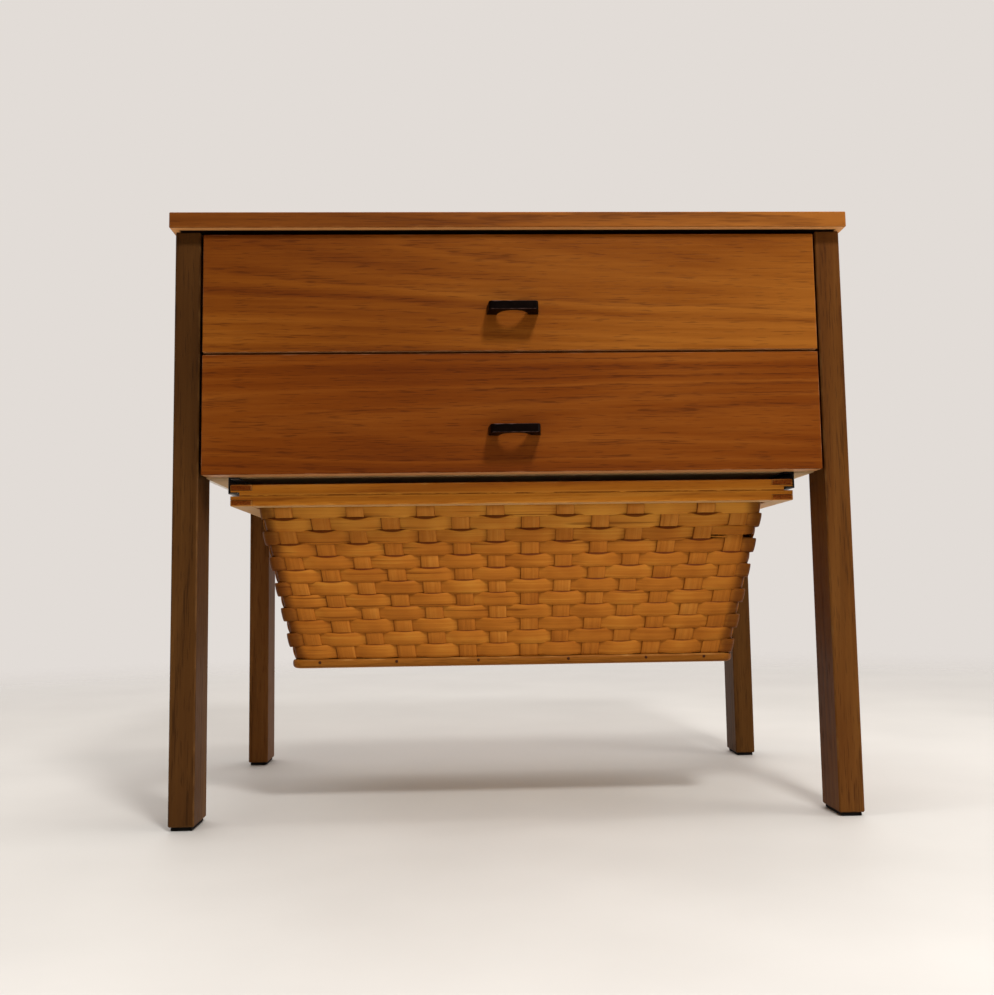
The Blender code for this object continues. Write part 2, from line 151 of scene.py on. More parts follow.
class Graph:
    """The nodes of a material or the world, with a short method for each kind that is used here."""

    def __init__(self, owner):
        owner.use_nodes = True
        self.owner = owner
        self.nodes = owner.node_tree.nodes
        self.links = owner.node_tree.links
        self.shader = self.nodes.get("Principled BSDF")

    def feed(self, socket, value):
        if isinstance(value, bpy.types.NodeSocket):
            self.links.new(value, socket)
        else:
            socket.default_value = value

    def node(self, kind, *values, **settings):
        """A node with these settings and its first inputs fed in order."""
        node = self.nodes.new("ShaderNode" + kind)
        for name, value in settings.items():
            setattr(node, name, value)
        for socket, value in zip(node.inputs, values):
            self.feed(socket, value)
        return node

    def math(self, operation, *values):
        return self.node("Math", *values, operation=operation).outputs[0]

    def vector(self, operation, *values):
        return self.node("VectorMath", *values, operation=operation).outputs[0]

    def split(self, vector):
        return list(self.node("SeparateXYZ", vector).outputs)

    def join(self, x, y, z):
        return self.node("CombineXYZ", x, y, z).outputs[0]

    def noise(self, place, lumps, detail=2.0, roughness=0.5):
        """Noise about 0.5. Its lumps to the metre are one number, or one for each axis."""
        per_metre = lumps if isinstance(lumps, tuple) else (lumps, lumps, lumps)
        node = self.node("TexNoise")
        self.feed(node.inputs["Vector"], self.vector("MULTIPLY", place, per_metre))
        return self.tune(node, detail, roughness)

    def noise_line(self, value, detail=2.0, roughness=0.5):
        """Noise about 0.5 along one number."""
        node = self.node("TexNoise", noise_dimensions="1D")
        self.feed(node.inputs["W"], value)
        return self.tune(node, detail, roughness)

    def tune(self, node, detail, roughness):
        self.feed(node.inputs["Scale"], 1.0)
        self.feed(node.inputs["Detail"], detail)
        self.feed(node.inputs["Roughness"], roughness)
        return node.outputs[0]

    def fade(self, value, low, high, start=0.0, end=1.0):
        """Goes smoothly from start, at low, to end, at high."""
        node = self.node("MapRange", value, low, high, start, end, interpolation_type="SMOOTHSTEP")
        return node.outputs[0]

    def blend(self, share, first, second, kind="MIX"):
        node = self.node("Mix", data_type="RGBA", blend_type=kind)
        for index, value in ((0, share), (6, first), (7, second)):
            self.feed(node.inputs[index], value)
        return node.outputs[2]

    def ramp(self, value, places, shades):
        """Goes from shade to shade at places from 0 to 1, in order."""
        node = self.node("ValToRGB", value)
        elements = node.color_ramp.elements
        elements[0].position = places[0]
        elements[1].position = places[-1]
        for place in places[1:-1]:
            elements.new(place)
        for element, shade in zip(elements, shades):
            element.color = colour(shade)
        return node.outputs[0]

    def total(self, start, *parts):
        """A number plus each value's distance from 0.5 times its weight."""
        result = start
        for value, weight in parts:
            centred = self.math("SUBTRACT", value, 0.5)
            result = self.math("MULTIPLY_ADD", centred, weight, result)
        return result

    def bump(self, height, depth, strength):
        node = self.node("Bump")
        self.feed(node.inputs["Strength"], strength)
        self.feed(node.inputs["Distance"], depth)
        self.feed(node.inputs["Height"], height)
        self.feed(self.shader.inputs["Normal"], node.outputs[0])

    def finish(self, base, roughness, **fixed):
        """Feeds the shader and gives the material. The fixed inputs are the same all over the surface."""
        self.feed(self.shader.inputs["Base Color"], base)
        self.feed(self.shader.inputs["Roughness"], roughness)
        for name, value in fixed.items():
            self.shader.inputs[name.replace("_", " ")].default_value = value
        return self.owner


def box_edge(graph, local, half):
    """The distance in metres of a point on a board's face from the nearest edge of the board."""
    depths = graph.split(graph.vector("SUBTRACT", half, graph.vector("ABSOLUTE", local)))
    nearest = graph.math("MINIMUM", graph.math("MINIMUM", depths[0], depths[1]), depths[2])
    farthest = graph.math("MAXIMUM", graph.math("MAXIMUM", depths[0], depths[1]), depths[2])
    whole = graph.math("ADD", graph.math("ADD", depths[0], depths[1]), depths[2])
    return graph.math("SUBTRACT", graph.math("SUBTRACT", whole, nearest), farthest)


def dress(node, material):
    """Gives a CAD node a material in its own slot."""
    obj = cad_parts[node]
    if not obj.material_slots:
        obj.data.materials.append(material)
    obj.material_slots[0].material = material


@dataclass
class Wood:
    """How a kind of wood looks."""
    dark: tuple
    middle: tuple
    light: tuple
    end: tuple
    worn_and_glint: tuple
    under: tuple               # bare wood of the faces that point down, painted lighter as light thrown up from the floor
    rings: float = 120.0       # growth bands to the metre of radius
    wander: float = 0.012      # how far the grain drifts
    banding: float = 0.5
    streaks: float = 0.5
    blotches: float = 0.6
    lines: float = 0.5         # how dark the late growth of each year is
    pores: float = 0.35
    roughness: float = 0.45
    # Trend, shift, rise and twist paint light and shade over a board as tone that grows along and across
    # it
    trend: float = 0.0         # how much lighter each metre along the grain
    shift: float = 0.0         # how much lighter past its middle, and darker before it
    rise: float = 0.0          # how much lighter each metre across it
    twist: float = 0.0         # how much the rise grows each metre along it
    wear_and_glint: float = 0.55         # how far the edges turn to their own shade: scuffs, and on the drawer fronts a painted highlight
    wear_and_glint_reach: float = 1.0    # how broad that edge shade is
    shadow_free_reach: float = 1.0   # how far in from its edges the underside stays unshaded; farther in it is painted in shadow
    seam: float = 0.0          # height of a glued joint above the middle, with a painted highlight beside it


TEAK = Wood((92, 45, 11), (130, 72, 22), (158, 96, 36), (84, 42, 14), (158, 104, 52), (168, 116, 66),
            banding=0.35, streaks=0.24, pores=0.28, wear_and_glint=0.35)
TOP_TEAK = replace(TEAK, under=(216, 152, 90), banding=0.2, blotches=0.3, shift=0.15, shadow_free_reach=0.006)
# The side panels' lower edges are painted near white, as light thrown up from the floor
SIDE_TEAK = replace(TEAK, under=(252, 246, 234))
# On the drawer fronts the edge shade is a narrow painted highlight along the bevels
FRONT_TEAK = replace(TEAK, worn_and_glint=(196, 138, 100), under=(196, 140, 88), lines=0.36, pores=0.36,
                     wear_and_glint=0.4, wear_and_glint_reach=0.45)
UPPER_TEAK = replace(FRONT_TEAK, dark=(92, 40, 6), middle=(125, 67, 14), light=(151, 90, 27),
                     trend=-0.2, shift=0.13, rise=-1.7, twist=8.0)
LOWER_TEAK = replace(FRONT_TEAK, dark=(84, 33, 4), middle=(112, 54, 8), light=(138, 76, 20),
                     trend=-0.45, shift=0.09, rise=0.6)
LEG_TEAK = Wood((58, 33, 11), (80, 49, 19), (106, 71, 33), (48, 26, 8), (112, 78, 42), (90, 60, 32),
                rings=150.0, banding=0.3, streaks=0.2, lines=0.3, roughness=0.5, trend=-0.35)
# Copies of the leg wood that paint light and shade: the rear left lighter, the rear right darker, the
# front right also a redder wood
RED_LEG_TEAK = replace(LEG_TEAK, dark=(66, 34, 9), middle=(92, 53, 17), light=(118, 76, 32), trend=0.0)
LIT_LEG_TEAK = replace(LEG_TEAK, dark=(76, 43, 16), middle=(104, 64, 26), light=(128, 84, 40))
SHADED_LEG_TEAK = replace(LEG_TEAK, dark=(52, 29, 8), middle=(73, 44, 14), light=(96, 62, 26))
LEGS = {("front", "left"): LEG_TEAK, ("front", "right"): RED_LEG_TEAK,
        ("rear", "left"): LIT_LEG_TEAK, ("rear", "right"): SHADED_LEG_TEAK}
FRAME_WOOD = Wood((140, 74, 18), (180, 110, 30), (206, 140, 52), (92, 36, 6), (206, 150, 80),
                  (206, 164, 110), rings=170.0, banding=0.35, streaks=0.3, lines=0.3, pores=0.25)
SEAMED_WOOD = replace(FRAME_WOOD, seam=-0.0002)
BASE_WOOD = replace(FRAME_WOOD, dark=(100, 54, 12), middle=(138, 82, 24), light=(164, 106, 40))
BOX_WOOD = Wood((168, 124, 74), (196, 154, 102), (214, 178, 128), (150, 108, 64), (216, 184, 140),
                (206, 170, 122), rings=140.0, banding=0.5, lines=0.2, pores=0.25, roughness=0.6)

# Lumps to the metre in the wood's noises, along the grain and both ways across it
DRIFT_LUMPS = (2.2, 9.0, 9.0)
STREAK_LUMPS = (7.0, 330.0, 330.0)
BLOTCH_LUMPS = (3.5, 13.0, 13.0)
RAGGED_LUMPS = (14.0, 160.0, 160.0)
LATE_LUMPS = (6.0, 45.0, 45.0)
PORE_LUMPS = (48.0, 900.0, 900.0)
END_LUMPS = (300.0, 700.0, 700.0)
CHIP_LUMPS = 60.0

# Where the parts of the wood's finish begin and end
BOARD_STEP = (1.37, 0.53, 0.71)      # from board to board in the noises
BOARD_YEARS = 3.1                    # and in the growth bands
RAGGED_YEARS = 0.7
LATE_START = (0.45, 0.85)            # shares of a year between which the late growth starts
LATE_END = (0.90, 1.0)               # and ends
LATE_GAPS = (0.36, 0.62)
PORE_GATHER = 0.10                   # how much more the pores gather in the late growth
PORE_FADE = (0.58, 0.72)
TONE_STOPS = (0.24, 0.5, 0.76)
SHIFT_SPAN = (-0.15, 0.12)           # where along a board its tone shifts
END_FACING = (0.75, 0.95)
END_STOPS = (0.3, 0.7)
CHIP_DEPTH = 0.004
WEAR_AND_GLINT_FADE = (0.0016, 0.0034)
SEAM_HIGHLIGHT = (0.0006, 0.0026, 0.45, 0.0)
SEAM_LINE = (0.0003, 0.0007, 0.7, 0.0)
SEAM_GAPS = (0.35, 0.55)
FACING_DOWN = (-0.98, -0.9)
UNDER_SHADOW_SHADE = (22, 11, 6)
UNDER_SHADOW_FADE = 0.002
PORE_ROUGHNESS = 0.12
PORE_DEPTH = -0.35
WOOD_GLOSS = 0.05


def wood(node, look, order, pith):
    dress(node, wood_finish(node, look, order, pith))


def wood_finish(node, look, order, pith):
    """Wood for one board. The order gives the axes along, across and into the grain.

    The pith is where the tree's middle lies from the board's: across, into, and the rise of both along it.
    """
    graph = Graph(bpy.data.materials.new(f"{node}_wood"))
    low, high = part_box(node)
    coords = graph.node("TexCoord").outputs
    local = graph.vector("SUBTRACT", coords["Object"], (low + high) / 2)
    axes = dict(zip("XYZ", graph.split(local)))
    along, across, into = (axes[letter] for letter in order)
    seed = NODE_NAMES.index(node) + 1
    place = graph.vector("ADD", graph.join(along, across, into), [seed * step for step in BOARD_STEP])

    # Growth bands round the pith, streaks and pores
    drift = graph.noise(place, DRIFT_LUMPS)
    wander = graph.math("MULTIPLY_ADD", drift, 2 * look.wander, -look.wander)
    side = graph.math("MULTIPLY_ADD", along, -pith[2], graph.math("SUBTRACT", across, pith[0]))
    depth = graph.math("MULTIPLY_ADD", along, -pith[3], graph.math("SUBTRACT", into, pith[1]))
    side = graph.math("ADD", side, wander)
    square = graph.math("MULTIPLY_ADD", side, side, graph.math("MULTIPLY", depth, depth))
    radius = graph.math("SQRT", square)
    years = graph.math("MULTIPLY_ADD", radius, look.rings, seed * BOARD_YEARS)
    bands = graph.noise_line(years)
    streaks = graph.noise(place, STREAK_LUMPS, detail=3.0, roughness=0.6)
    blotches = graph.noise(place, BLOTCH_LUMPS)
    ragged = graph.math("MULTIPLY_ADD", graph.noise(place, RAGGED_LUMPS), RAGGED_YEARS, years)
    season = graph.math("FRACT", ragged)
    late = graph.math("MULTIPLY", graph.fade(season, *LATE_START), graph.fade(season, *LATE_END, 1.0, 0.0))
    late = graph.math("MULTIPLY", late, graph.fade(graph.noise(place, LATE_LUMPS), *LATE_GAPS))
    dashes = graph.math("MULTIPLY_ADD", late, PORE_GATHER, graph.noise(place, PORE_LUMPS, detail=1.0))
    pores = graph.fade(dashes, *PORE_FADE)

    # Shades
    tone = graph.total(0.5, (bands, look.banding), (streaks, look.streaks), (blotches, look.blotches))
    # Painted light and shade: the tone grows along and across the board
    tone = graph.math("MULTIPLY_ADD", along, look.trend, tone)
    tone = graph.math("ADD", tone, graph.fade(along, *SHIFT_SPAN, -look.shift, look.shift))
    rise = graph.math("MULTIPLY_ADD", along, look.twist, look.rise)
    tone = graph.math("MULTIPLY_ADD", across, rise, tone)
    base = graph.ramp(tone, TONE_STOPS, (look.dark, look.middle, look.light))
    base = graph.blend(graph.math("MULTIPLY", late, look.lines), base, colour(look.dark))
    base = graph.blend(graph.math("MULTIPLY", pores, look.pores), base, colour(look.dark), "MULTIPLY")
    facing = dict(zip("XYZ", graph.split(coords["Normal"])))
    end_grain = graph.fade(graph.math("ABSOLUTE", facing[order[0]]), *END_FACING)
    rough_end = graph.ramp(graph.noise(place, END_LUMPS), END_STOPS, (look.dark, look.end))
    base = graph.blend(end_grain, base, rough_end)

    # Edges scuffed to their own shade, with painted highlights on the fronts; a glued joint with a painted
    # highlight; painted light and shadow underneath
    chips = graph.noise(place, CHIP_LUMPS, detail=3.0)
    rim = box_edge(graph, local, (high - low) / 2)
    edge = graph.math("MULTIPLY_ADD", rim, 1 / look.wear_and_glint_reach, graph.math("MULTIPLY", chips, CHIP_DEPTH))
    base = graph.blend(graph.fade(edge, *WEAR_AND_GLINT_FADE, look.wear_and_glint, 0.0), base, colour(look.worn_and_glint))
    if look.seam:
        away = graph.math("ABSOLUTE", graph.math("SUBTRACT", axes["Z"], look.seam))
        # Painted highlight beside the joint
        base = graph.blend(graph.fade(away, *SEAM_HIGHLIGHT), base, colour(look.light))
        joint = graph.math("MULTIPLY", graph.fade(away, *SEAM_LINE), graph.fade(chips, *SEAM_GAPS))
        base = graph.blend(joint, base, colour(look.end))
    # Painted light: faces that point down take the under shade, as if lit from the floor
    down = graph.fade(facing["Z"], *FACING_DOWN, 1.0, 0.0)
    base = graph.blend(down, base, colour(look.under))
    # Painted shadow: the underside darkens farther in than that from its edges
    under_shadow = graph.fade(rim, look.shadow_free_reach, look.shadow_free_reach + UNDER_SHADOW_FADE)
    base = graph.blend(graph.math("MULTIPLY", down, under_shadow), base, colour(UNDER_SHADOW_SHADE))

    roughness = graph.total(look.roughness, (blotches, 0.16), (streaks, 0.12))
    roughness = graph.math("MULTIPLY_ADD", pores, PORE_ROUGHNESS, roughness)
    height = graph.total(0.5, (streaks, 0.5), (bands, 0.3))
    graph.bump(graph.math("MULTIPLY_ADD", pores, PORE_DEPTH, height), depth=0.0004, strength=0.35)
    return graph.finish(base, roughness, Specular_IOR_Level=WOOD_GLOSS)


@dataclass
class Coat:
    """How black paint, rubber or blackened steel looks."""
    shades: tuple
    worn_and_glint: tuple
    roughness: float
    metallic: float = 0.0
    under: float = 0.0         # how far its underside turns to the edge shade: scuffed bare, and painted light


RUBBER = Coat(((12, 11, 10), (30, 28, 26)), (52, 48, 44), 0.7)
# The pulls' edge shade is a painted glint along their edges
PULL_PAINT = Coat(((5, 1, 0), (12, 4, 2)), (120, 92, 86), 0.40)
DULL_STEEL = Coat(((16, 15, 14), (36, 33, 31)), (92, 86, 80), 0.42, metallic=0.6)
# The left runner's underside is painted near white: scuffed steel, and painted light seen in its groove
RUBBED_AND_LIT_STEEL = replace(DULL_STEEL, worn_and_glint=(214, 208, 200), under=0.9)
RUNNERS = {"left": RUBBED_AND_LIT_STEEL, "right": DULL_STEEL}

COAT_STOPS = (0.3, 0.7)
COAT_CHIP_DEPTH = 0.0022
COAT_WEAR_AND_GLINT = (0.0008, 0.0017, 0.6, 0.0)
COAT_GLOSS = 0.03


def coat(node, look):
    """Gives a CAD node a dark coat, dusty in places, with scuffed edges, painted glints on the pulls'
    edges, and an underside lightened as its look asks: scuffed bare, and painted light.
    """
    graph = Graph(bpy.data.materials.new(f"{node}_finish"))
    low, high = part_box(node)
    coords = graph.node("TexCoord").outputs
    local = graph.vector("SUBTRACT", coords["Object"], (low + high) / 2)
    cloud = graph.noise(local, lumps=90.0, detail=4.0, roughness=0.65)
    grit = graph.noise(local, lumps=1500.0)
    base = graph.ramp(graph.total(0.5, (cloud, 1.2), (grit, 0.4)), COAT_STOPS, look.shades)
    edge = graph.math("MULTIPLY_ADD", cloud, COAT_CHIP_DEPTH, box_edge(graph, local, (high - low) / 2))
    rubbed_and_lit = graph.fade(graph.split(coords["Normal"])[2], *FACING_DOWN, look.under, 0.0)
    worn_and_glint = graph.math("MAXIMUM", graph.fade(edge, *COAT_WEAR_AND_GLINT), rubbed_and_lit)
    base = graph.blend(worn_and_glint, base, colour(look.worn_and_glint))
    graph.bump(graph.total(0.5, (grit, 0.6), (cloud, 0.4)), depth=0.0002, strength=0.25)
    roughness = graph.total(look.roughness, (cloud, 0.3), (grit, 0.2))
    dress(node, graph.finish(base, roughness, Metallic=look.metallic, Specular_IOR_Level=COAT_GLOSS))


STEEL_STOPS = (0.25, 0.5, 0.8)
STEEL_SHADES = ((96, 88, 78), (150, 144, 134), (186, 182, 174))
TURNING_LUMPS = (900.0, 900.0, 5200.0)


def steel(name):
    """Plain steel with turning marks and a little tarnish."""
    graph = Graph(bpy.data.materials.new(name))
    place = graph.node("TexCoord").outputs["Object"]
    marks = graph.noise(place, TURNING_LUMPS)
    tarnish = graph.noise(place, lumps=260.0, detail=3.0)
    base = graph.ramp(graph.total(0.5, (marks, 0.5), (tarnish, 0.9)), STEEL_STOPS, STEEL_SHADES)
    graph.bump(marks, depth=0.0001, strength=0.3)
    return graph.finish(base, graph.total(0.36, (tarnish, 0.4), (marks, 0.2)), Metallic=1.0)


IRON_STOPS = (0.35, 0.6, 0.75)
IRON_SHADES = ((52, 24, 10), (74, 36, 14), (104, 56, 24))


def nail_iron():
    """Dark, slightly rusty iron."""
    graph = Graph(bpy.data.materials.new("nail_iron"))
    place = graph.node("TexCoord").outputs["Object"]
    rust = graph.noise(place, lumps=700.0, detail=4.0, roughness=0.65)
    base = graph.ramp(rust, IRON_STOPS, IRON_SHADES)
    graph.bump(rust, depth=0.0002, strength=0.5)
    return graph.finish(base, graph.total(0.55, (rust, 0.4)), Metallic=0.1, Specular_IOR_Level=0.1)


# Shades of the splints, from dark to light, and how dark their cracks are
WEAVER_SHADES = ((132, 69, 16), (173, 104, 33), (204, 142, 54))
STAKE_SHADES = ((130, 68, 16), (168, 100, 32), (194, 129, 52))
WEAVER_CRACKS = 0.55
STAKE_CRACKS = 0.12
RIM_CRACKS = 0.3

# Lumps to the metre in the splints' noises, along and across a strip
FIBRE_LUMPS = (16.0, 1500.0, 1.0)
GRAIN_LUMPS = (5.0, 420.0, 1.0)
PATCH_LUMPS = (24.0, 30.0, 1.0)
CRACK_LUMPS = (8.0, 330.0, 1.0)

# Where the parts of the splints' finish begin and end
STRIP_STEP = 7.3             # from strip to strip in the noises
STRIP_START = 1.9            # from the start of one strip to the next in the map, in metres
SPLINT_STOPS = (0.2, 0.5, 0.8)
PAINTED_LIGHT_RAISE = (0.230, 0.285)  # heights between which the splints are painted paler, against the shade under the frame
PAINTED_LIGHT_TONE = (-0.03, 0.24)    # and by how much
CRACK_FADE = (0.66, 0.72)
CRACK_DEPTH = -0.6
CRACK_SHADE = (96, 46, 8)
EDGE_POWER = 5.0
BEHIND_STAKE = (-0.83, -0.37)
EDGE_AND_CROSSING_FADE = (0.6, 1.4, 0.0, 0.65)
EDGE_AND_CROSSING_SHADE = (112, 54, 10)   # darker along the edges, and painted shade where a weaver goes behind a stake
PLAIN_SWING = 0.30           # stands for a strip that isn't woven, with hardly a shadow on it
LENS_START = 0.2             # swing at which the shadow along a weaver's upper edge starts
LENS_RAISE = (0.17, 0.28)    # heights between which that shadow deepens
LENS_DEPTH = (0.16, 0.46)    # and how deep it is, as shares of half a weaver
LEDGE_FADE = (0.97, 1.10, 0.0, 0.85)
# painted shadow along a weaver's upper edge, below the stakes' ends
LEDGE_SHADE = (78, 24, 4)
CORNER_SHADOW_FADE = (0.3, 0.9, 0.0, 0.75)
CORNER_SHADOW_SHADE = (78, 36, 9)    # painted shade at the corners


def splint_finish(name, width, shades, cracks):
    """Varnished flat splint. Its map holds metres along each strip, and across it from a whole number.

    Its swing tells whether it lies in front of a stake, 1, or behind one, -1, seen from the face's own
    side. Its corner shade, a painted shade at the basket's corners, goes from 0 to 1.
    """
    graph = Graph(bpy.data.materials.new(name))
    height_above = graph.split(graph.node("TexCoord").outputs["Object"])[2]
    along, over, _ = graph.split(graph.node("UVMap", uv_map="splint").outputs[0])
    swing = graph.node("Attribute", attribute_name="swing").outputs["Fac"]
    corner_shade = graph.node("Attribute", attribute_name="corner_shade").outputs["Fac"]
    strip = graph.math("ROUND", over)
    across = graph.math("SUBTRACT", over, strip)
    place = graph.join(along, across, graph.math("MULTIPLY", strip, STRIP_STEP))
    fibres = graph.noise(place, FIBRE_LUMPS, detail=3.0, roughness=0.6)
    grain = graph.noise(place, GRAIN_LUMPS)
    patches = graph.noise(place, PATCH_LUMPS)
    crack = graph.fade(graph.noise(place, CRACK_LUMPS, detail=1.0), *CRACK_FADE)
    tone = graph.total(0.5, (fibres, 0.28), (grain, 0.30), (patches, 0.5))
    tone = graph.math("ADD", tone, graph.fade(height_above, *PAINTED_LIGHT_RAISE, *PAINTED_LIGHT_TONE))
    base = graph.ramp(tone, SPLINT_STOPS, shades)

    reach = graph.math("MULTIPLY", across, 2 / width)
    rim = graph.math("POWER", graph.math("ABSOLUTE", reach), EDGE_POWER)
    # Darker along the edges, and painted shade where a weaver goes behind a stake
    dip = graph.fade(swing, *BEHIND_STAKE, 1.0, 0.0)
    edge_and_crossing_shade = graph.fade(graph.math("ADD", rim, dip), *EDGE_AND_CROSSING_FADE)
    base = graph.blend(edge_and_crossing_shade, base, colour(EDGE_AND_CROSSING_SHADE))
    taper = graph.math("DIVIDE", graph.math("SUBTRACT", swing, LENS_START), 1 - LENS_START)
    depth = graph.fade(height_above, *LENS_RAISE, *LENS_DEPTH)
    lens = graph.math("MULTIPLY", graph.math("MAXIMUM", taper, 0.0), depth)
    ledge = graph.fade(graph.math("ADD", reach, lens), *LEDGE_FADE)
    base = graph.blend(ledge, base, colour(LEDGE_SHADE))
    base = graph.blend(graph.math("MULTIPLY", crack, cracks), base, colour(CRACK_SHADE))
    # Painted shade at the basket's corners, in patches
    corner_shadow = graph.fade(graph.total(corner_shade, (patches, 0.8)), *CORNER_SHADOW_FADE)
    base = graph.blend(corner_shadow, base, colour(CORNER_SHADOW_SHADE))

    height = graph.total(0.5, (fibres, 0.5), (grain, 0.6))
    graph.bump(graph.math("MULTIPLY_ADD", crack, CRACK_DEPTH, height), depth=0.0006, strength=0.4)
    roughness = graph.total(0.46, (patches, 0.3), (fibres, 0.25))
    return graph.finish(base, roughness, Specular_IOR_Level=WOOD_GLOSS)


def dress_cabinet():
    """Finishes for every CAD node that stays in view."""
    screw_steel = steel("screw_steel")
    wood("top_board", TOP_TEAK, "XYZ", pith=(0.12, -0.08, 0.03, 0.04))
    wood("back_panel", BOX_WOOD, "XZY", pith=(0.02, 0.16, 0.05, 0.06))
    wood("bottom_panel", BOX_WOOD, "XYZ", pith=(0.05, -0.15, 0.02, 0.04))
    for side in SIDES:
        wood(f"side_panel_{side}", SIDE_TEAK, "YZX", pith=(0.05, 0.07, 0.06, 0.08))
        coat(f"basket_runner_{side}", RUNNERS[side])
        for end in ("front", "rear"):
            wood(f"leg_{end}_{side}", LEGS[end, side], "ZXY", pith=(0.03, 0.06, 0.004, 0.02))
            coat(f"pad_{end}_{side}", RUBBER)
            dress(f"basket_runner_screw_{end}_{side}", screw_steel)

    wood("upper_drawer_front", UPPER_TEAK, "XZY", pith=(0.050, 0.050, 0.0, -0.055))
    wood("lower_drawer_front", LOWER_TEAK, "XZY", pith=(-0.010, 0.012, 0.0, -0.03))
    for drawer in DRAWERS:
        wood(f"{drawer}_floor", BOX_WOOD, "XYZ", pith=(0.04, -0.12, 0.03, 0.05))
        wood(f"{drawer}_back", BOX_WOOD, "XZY", pith=(0.03, 0.09, 0.01, 0.03))
        coat(f"{drawer}_pull", PULL_PAINT)
        for side in SIDES:
            wood(f"{drawer}_side_{side}", BOX_WOOD, "YZX", pith=(0.03, 0.08, 0.01, 0.04))
            wood(f"{drawer}_runner_{side}", FRAME_WOOD, "YZX", pith=(0.03, 0.05, 0.01, 0.02))
            dress(f"{drawer}_pull_screw_{side}", screw_steel)

    for end in ("front", "back"):
        wood(f"basket_rail_{end}", SEAMED_WOOD, "XZY", pith=(0.03, 0.05, 0.01, 0.02))
    for side in SIDES:
        wood(f"basket_rail_{side}", FRAME_WOOD, "YZX", pith=(0.03, 0.05, 0.01, 0.02))
    wood("basket_base", BASE_WOOD, "XYZ", pith=(0.06, -0.10, 0.02, 0.05))


# A splint's section: places across it from -0.5 to 0.5, and out of it as shares of its thickness
SECTION = np.array([(-0.5, 0.0), (-0.46, 0.36), (-0.25, 0.5), (0.0, 0.5), (0.25, 0.5),
                    (0.46, 0.36), (0.5, 0.0), (0.46, -0.36), (0.0, -0.5), (-0.46, -0.36)])


class Splints:
    """Gathers flat strips into one mesh, with a map in metres along and across each strip."""

    def __init__(self):
        self.points = []
        self.faces = []
        self.map = []
        self.swings = []
        self.corner_shades = []
        self.strips = 0

    def add(self, centre, side, out, width, thickness, closed, swing=PLAIN_SWING, corner_shade=0.0, camber=0.0):
        """Adds a strip along a row of points, with the sideways and outward directions at each.

        Its width, swing and painted corner shade are one number or one for each point. A closed strip
        starts and ends opposite its first point, at the back of the basket.
        """
        count, corners = len(centre), len(SECTION)
        width, swing, corner_shade = (np.broadcast_to(values, count) for values in (width, swing, corner_shade))
        if closed:
            centre, side, out, width, swing, corner_shade = (
                np.roll(values, count // 2, axis=0) for values in (centre, side, out, width, swing, corner_shade))
        across, rise = SECTION[:, 0], SECTION[:, 1]
        lift = rise * thickness + camber * swing[:, None] * (1 - 4 * across ** 2)
        reach = across * width[:, None]
        points = centre[:, None] + reach[:, :, None] * side[:, None] + lift[:, :, None] * out[:, None]
        first = len(self.points)
        self.points.extend(points.reshape(-1, 3).tolist())
        self.swings.extend(np.outer(swing, np.where(rise < 0, -1, 1)).ravel().tolist())
        self.corner_shades.extend(np.repeat(corner_shade, corners).tolist())

        steps = np.linalg.norm(np.roll(centre, -1, axis=0) - centre, axis=1)
        run = np.concatenate(([0.0], np.cumsum(steps))) + self.strips * STRIP_START
        for start in range(count if closed else count - 1):
            end = (start + 1) % count
            for here in range(corners):
                there = (here + 1) % corners
                self.faces.append([first + ring * corners + corner for ring, corner in
                                   ((start, here), (end, here), (end, there), (start, there))])
                for at, ring, corner in ((start, start, here), (start + 1, end, here),
                                         (start + 1, end, there), (start, start, there)):
                    self.map.append((run[at], self.strips + reach[ring, corner]))
        if not closed:
            for ring, order in ((0, range(corners)), (count - 1, reversed(range(corners)))):
                order = list(order)
                self.faces.append([first + ring * corners + corner for corner in order])
                self.map.extend((run[ring], self.strips + reach[ring, corner]) for corner in order)
        self.strips += 1

    def build(self, name, material):
        mesh = bpy.data.meshes.new(name)
        mesh.from_pydata(self.points, [], self.faces)
        layer = mesh.uv_layers.new(name="splint")
        layer.uv.foreach_set("vector", np.array(self.map, np.float32).ravel())
        for title, values in (("swing", self.swings), ("corner_shade", self.corner_shades)):
            mesh.attributes.new(title, "FLOAT", "POINT").data.foreach_set("value", values)
        mesh.shade_smooth()
        mesh.materials.append(material)
        obj = add_object(name, mesh)
        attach(obj, "basket")
        return obj


def even_points(line, count):
    """So many points at even steps along a line of points, without its end."""
    line = np.array(line)
    run = np.concatenate(([0.0], np.cumsum(np.linalg.norm(np.diff(line, axis=0), axis=1))))
    at = np.linspace(0.0, run[-1], count, endpoint=False)
    return np.column_stack([np.interp(at, run, values) for values in line.T])


def hoop_line(half_x, half_y, middle_y, z):
    """Points round the basket's wall, from the front's left stake, as many for each stake spacing."""
    last_x, last_y = half_x - STAKE_INSET, half_y - STAKE_INSET
    turn = np.linspace(-pi / 2, 0, CORNER_POINTS)
    arc_x = half_x - WALL_CORNER + WALL_CORNER * np.cos(turn)
    arc_y = -half_y + WALL_CORNER + WALL_CORNER * np.sin(turn)
    corner = np.vstack([(last_x, -half_y), np.column_stack([arc_x, arc_y]), (half_x, -last_y)])
    half_turn = np.vstack([
        even_points([(-last_x, -half_y), (last_x, -half_y)], (STAKES_FRONT - 1) * HOOP_STEPS),
        even_points(corner, HOOP_STEPS),
        even_points([(half_x, -last_y), (half_x, last_y)], (STAKES_SIDE - 1) * HOOP_STEPS),
        even_points(corner[::-1] * (1, -1), HOOP_STEPS),
    ])
    flat = np.vstack([half_turn, -half_turn])
    return np.column_stack([flat[:, 0], flat[:, 1] + middle_y, np.full(len(flat), z)])


